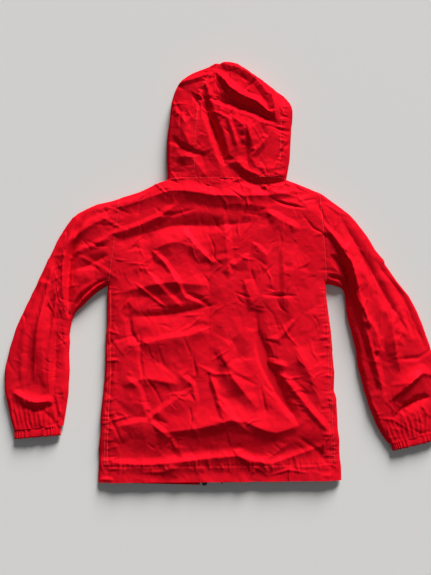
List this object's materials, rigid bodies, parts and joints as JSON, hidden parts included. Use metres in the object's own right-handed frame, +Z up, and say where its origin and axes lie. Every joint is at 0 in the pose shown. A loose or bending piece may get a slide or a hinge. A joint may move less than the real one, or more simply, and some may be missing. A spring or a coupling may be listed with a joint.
{
  "type": "hooded hardshell jacket",
  "caption": "Hooded waterproof shell jacket laid face down, with folding hood and sleeves, elastic cuffs, an open front zip and zipped hand pockets.",
  "frame": {"origin": "on the supporting surface, under the middle of the laid jacket", "axes": "+Y from the hem to the hood, +X to the wearer's right, +Z up out of the back of the jacket"},
  "size_m": [0.8156, 0.837, 0.04],
  "materials": {
    "shell_fabric": "glossy coated woven nylon, crumpled",
    "lining_fabric": "matt woven lining",
    "seam_tape": "satin seam tape",
    "elastic": "knitted elastic",
    "zip_tape": "matt woven tape",
    "zip_coil": "satin moulded plastic",
    "zip_metal": "satin black lacquer on die-cast metal",
    "ribbon": "matt woven ribbon"
  },
  "bodies": {
    "torso": {"back_hem_band": "shell_fabric", "back_neck_seam_tape": "seam_tape", "back_panel": "shell_fabric", "hang_loop": "ribbon", "left_chin_guard": "shell_fabric", "left_front_hem_band": "shell_fabric", "left_front_panel": "shell_fabric", "left_pocket_bag": "lining_fabric", "left_pocket_zip_coil": "zip_coil", "left_pocket_zip_tape": "zip_tape", "left_shoulder_seam_tape": "seam_tape", "left_side_seam_tape": "seam_tape", "left_zip_coil": "zip_coil", "left_zip_tape": "zip_tape", "left_zip_top_stop": "zip_metal", "right_front_hem_band": "shell_fabric", "right_front_panel": "shell_fabric", "right_pocket_bag": "lining_fabric", "right_pocket_zip_coil": "zip_coil", "right_pocket_zip_tape": "zip_tape", "right_shoulder_seam_tape": "seam_tape", "right_side_seam_tape": "seam_tape", "right_zip_coil": "zip_coil", "right_zip_tape": "zip_tape", "right_zip_top_stop": "zip_metal", "storm_flap": "lining_fabric", "zip_insertion_pin": "zip_metal", "zip_retainer_box": "zip_metal"},
    "hood": {"hood_brim": "lining_fabric", "hood_center_panel": "shell_fabric", "hood_left_face_binding": "elastic", "hood_left_facing": "lining_fabric", "hood_left_panel": "shell_fabric", "hood_left_seam_tape": "seam_tape", "hood_right_face_binding": "elastic", "hood_right_facing": "lining_fabric", "hood_right_panel": "shell_fabric", "hood_right_seam_tape": "seam_tape"},
    "left_sleeve": {"left_cuff_casing": "shell_fabric", "left_cuff_elastic": "elastic", "left_sleeve_back_panel": "shell_fabric", "left_sleeve_front_panel": "shell_fabric", "left_sleeve_top_seam_tape": "seam_tape", "left_underarm_seam_tape": "seam_tape"},
    "right_sleeve": {"right_cuff_casing": "shell_fabric", "right_cuff_elastic": "elastic", "right_sleeve_back_panel": "shell_fabric", "right_sleeve_front_panel": "shell_fabric", "right_sleeve_top_seam_tape": "seam_tape", "right_underarm_seam_tape": "seam_tape"},
    "left_pocket_pull": {"left_pocket_zip_pull": "zip_metal"},
    "left_pocket_slider": {"left_pocket_zip_slider": "zip_metal"},
    "main_pull": {"main_zip_pull": "zip_metal"},
    "main_slider": {"main_zip_slider": "zip_metal"},
    "right_pocket_pull": {"right_pocket_zip_pull": "zip_metal"},
    "right_pocket_slider": {"right_pocket_zip_slider": "zip_metal"}
  },
  "joints": [
    {"name": "hood_fold", "type": "hinge", "parent": "torso", "child": "hood", "pos_m": [0.01736, 0.1625, 0.025], "axis": [1, 0, 0], "range_deg": [0, 170]},
    {"name": "left_sleeve_fold", "type": "hinge", "parent": "torso", "child": "left_sleeve", "pos_m": [-0.20664, 0.041, 0.025], "axis": [0.0871, 0.9962, 0], "range_deg": [0, 135]},
    {"name": "right_sleeve_fold", "type": "hinge", "parent": "torso", "child": "right_sleeve", "pos_m": [0.20436, 0.041, 0.025], "axis": [-0.0328, 0.9995, 0], "range_deg": [-135, 0]},
    {"name": "main_zip_slide", "type": "slide", "parent": "torso", "child": "main_slider", "axis": [0, 1, 0], "range_m": [0, 0.54]},
    {"name": "main_pull_flip", "type": "hinge", "parent": "main_slider", "child": "main_pull", "pos_m": [-0.03174, -0.393, 0.0037], "axis": [1, 0, 0], "range_deg": [0, 170]},
    {"name": "left_pocket_zip_slide", "type": "slide", "parent": "torso", "child": "left_pocket_slider", "axis": [0, 1, 0], "range_m": [-0.139, 0]},
    {"name": "left_pocket_pull_flip", "type": "hinge", "parent": "left_pocket_slider", "child": "left_pocket_pull", "pos_m": [-0.13364, -0.181, 0.0037], "axis": [1, 0, 0], "range_deg": [0, 170]},
    {"name": "right_pocket_zip_slide", "type": "slide", "parent": "torso", "child": "right_pocket_slider", "axis": [0, 1, 0], "range_m": [-0.139, 0]},
    {"name": "right_pocket_pull_flip", "type": "hinge", "parent": "right_pocket_slider", "child": "right_pocket_pull", "pos_m": [0.12636, -0.181, 0.0037], "axis": [1, 0, 0], "range_deg": [0, 170]}
  ]
}
